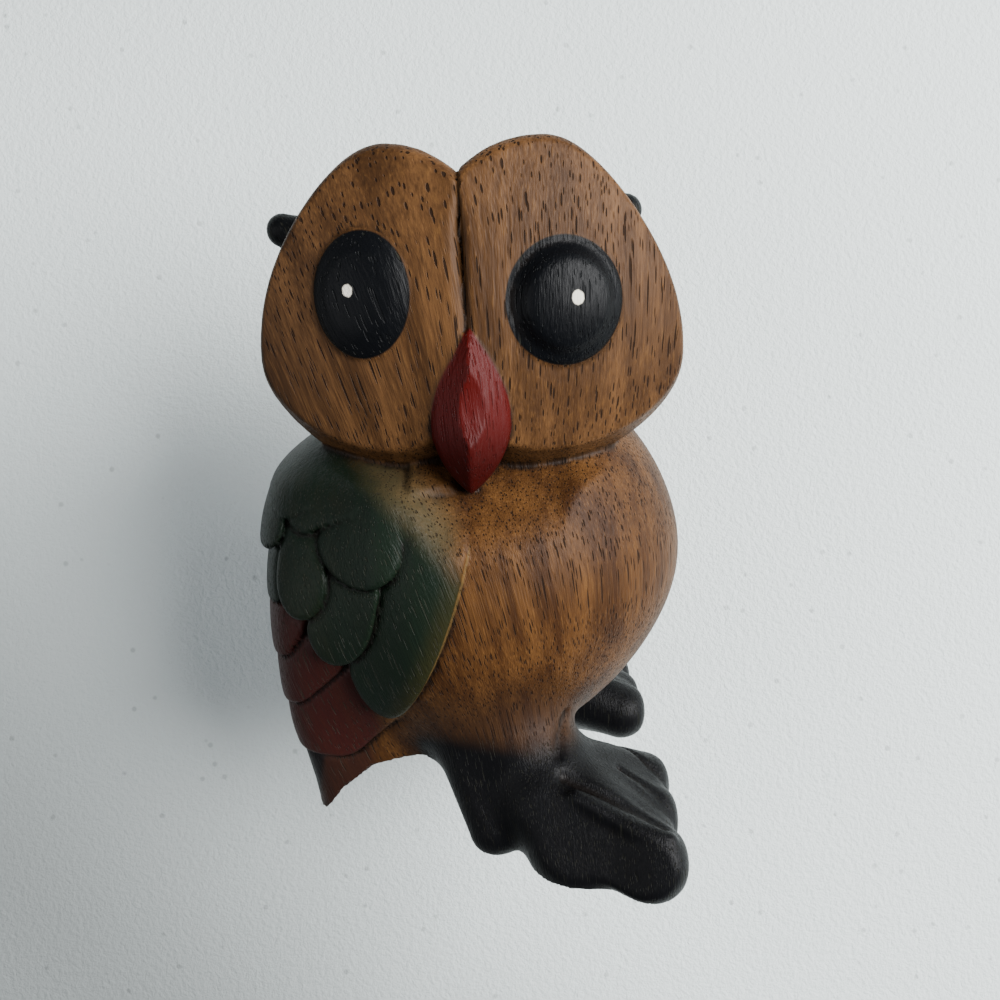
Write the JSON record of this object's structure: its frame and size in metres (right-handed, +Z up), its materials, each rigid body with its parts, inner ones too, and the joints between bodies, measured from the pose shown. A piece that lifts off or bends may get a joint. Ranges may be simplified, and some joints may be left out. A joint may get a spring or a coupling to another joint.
{
  "type": "carved wooden owl",
  "caption": "Painted wooden owl carved from one block, head turned to one side, with layered wing feathers, standing on two broad feet and the tip of its tail.",
  "frame": {"origin": "on the ground, under the middle of the owl's box", "axes": "+Z up; the owl's breast faces +X and its face looks along -Y"},
  "size_m": [0.068, 0.0758, 0.1032],
  "materials": {
    "stained_wood": "stained and painted, waxed to a satin gloss"
  },
  "bodies": {
    "root": {"owl": "stained_wood"}
  },
  "joints": []
}
